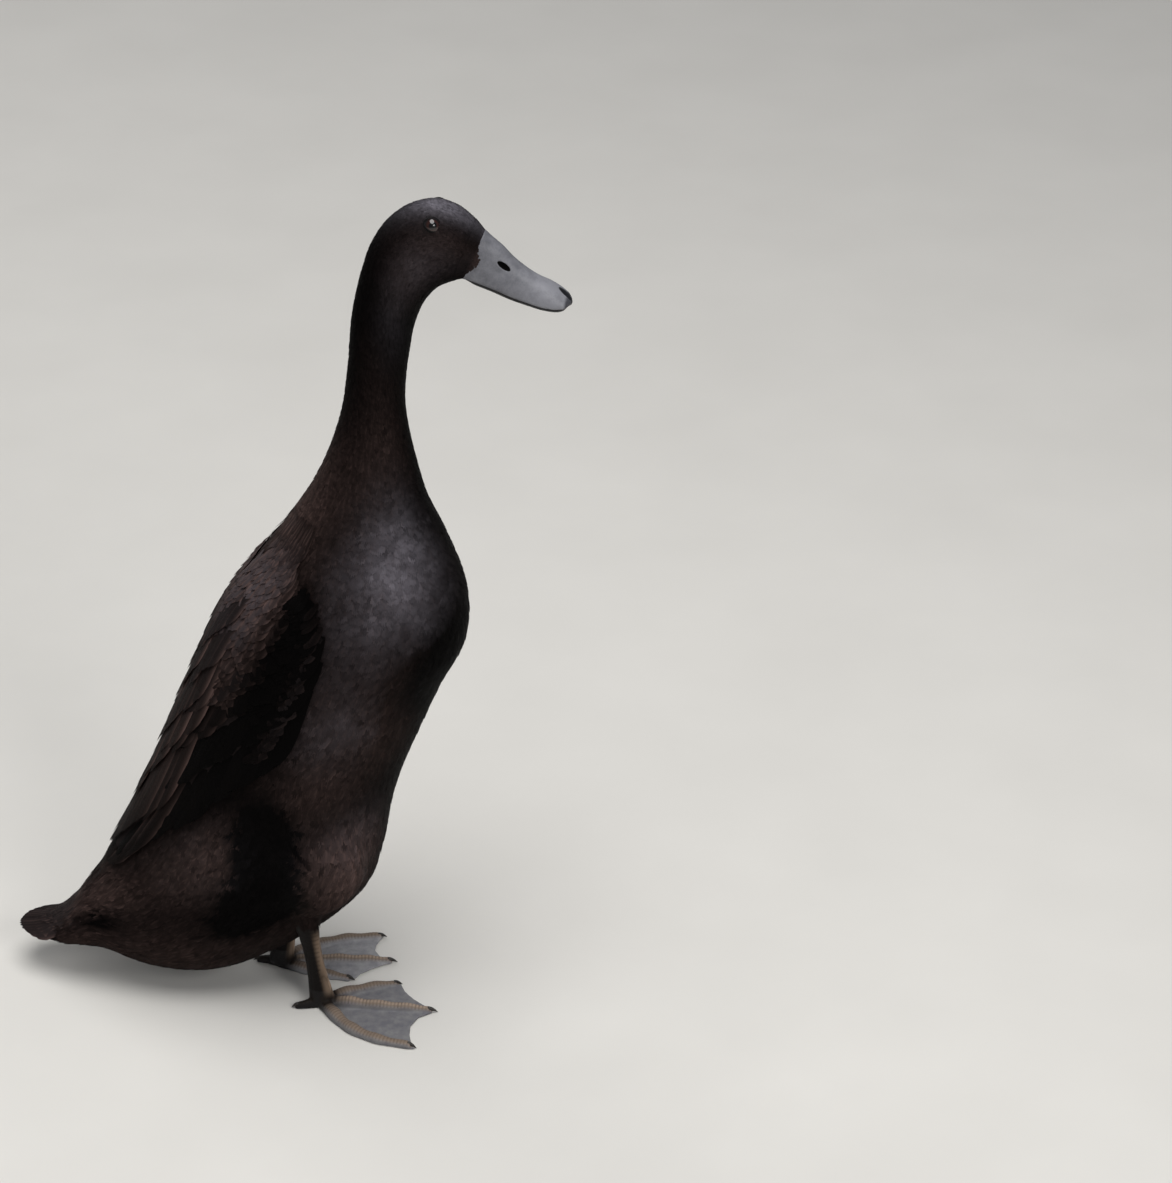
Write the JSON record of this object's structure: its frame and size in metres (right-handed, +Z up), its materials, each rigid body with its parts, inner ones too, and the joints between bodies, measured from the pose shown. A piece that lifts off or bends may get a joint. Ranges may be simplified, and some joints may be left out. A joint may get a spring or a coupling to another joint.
{
  "type": "indian runner duck model",
  "caption": "Still life-size model of a black Indian Runner duck standing upright on two webbed feet, with long neck, folded wings and short fan tail.",
  "frame": {"origin": "on the floor under the middle of the bird's length and width", "axes": "+X the way the bird faces, +Y its left side, +Z up"},
  "size_m": [0.3707, 0.1353, 0.5685],
  "materials": {
    "bill": "slate grey horny skin",
    "bill_nail": "black horn",
    "body_feathers": "matte black feathers with a grey and brown tinge",
    "claw": "black horn claws",
    "eye": "wet dark red-brown eye",
    "head_feathers": "soft matte black feathers with a grey sheen",
    "neck_feathers": "soft matte black feathers",
    "shank": "dark scaled skin with an orange-brown front",
    "tail_feathers": "black-brown tail feathers",
    "web": "slate grey webbed skin",
    "wing_feathers": "black-brown flight feathers"
  },
  "bodies": {
    "root": {"bill_lower": "bill", "bill_nail": "bill_nail", "bill_upper": "bill", "claw_hind_l": "claw", "claw_hind_r": "claw", "claw_inner_l": "claw", "claw_inner_r": "claw", "claw_middle_l": "claw", "claw_middle_r": "claw", "claw_outer_l": "claw", "claw_outer_r": "claw", "eye_l": "eye", "eye_r": "eye", "foot_l": "web", "foot_r": "web", "head": "head_feathers", "neck_lower": "neck_feathers", "neck_upper": "neck_feathers", "rump": "body_feathers", "shank_l": "shank", "shank_r": "shank", "tail": "tail_feathers", "thigh_l": "body_feathers", "thigh_r": "body_feathers", "torso": "body_feathers", "wing_l": "wing_feathers", "wing_r": "wing_feathers"}
  },
  "joints": []
}
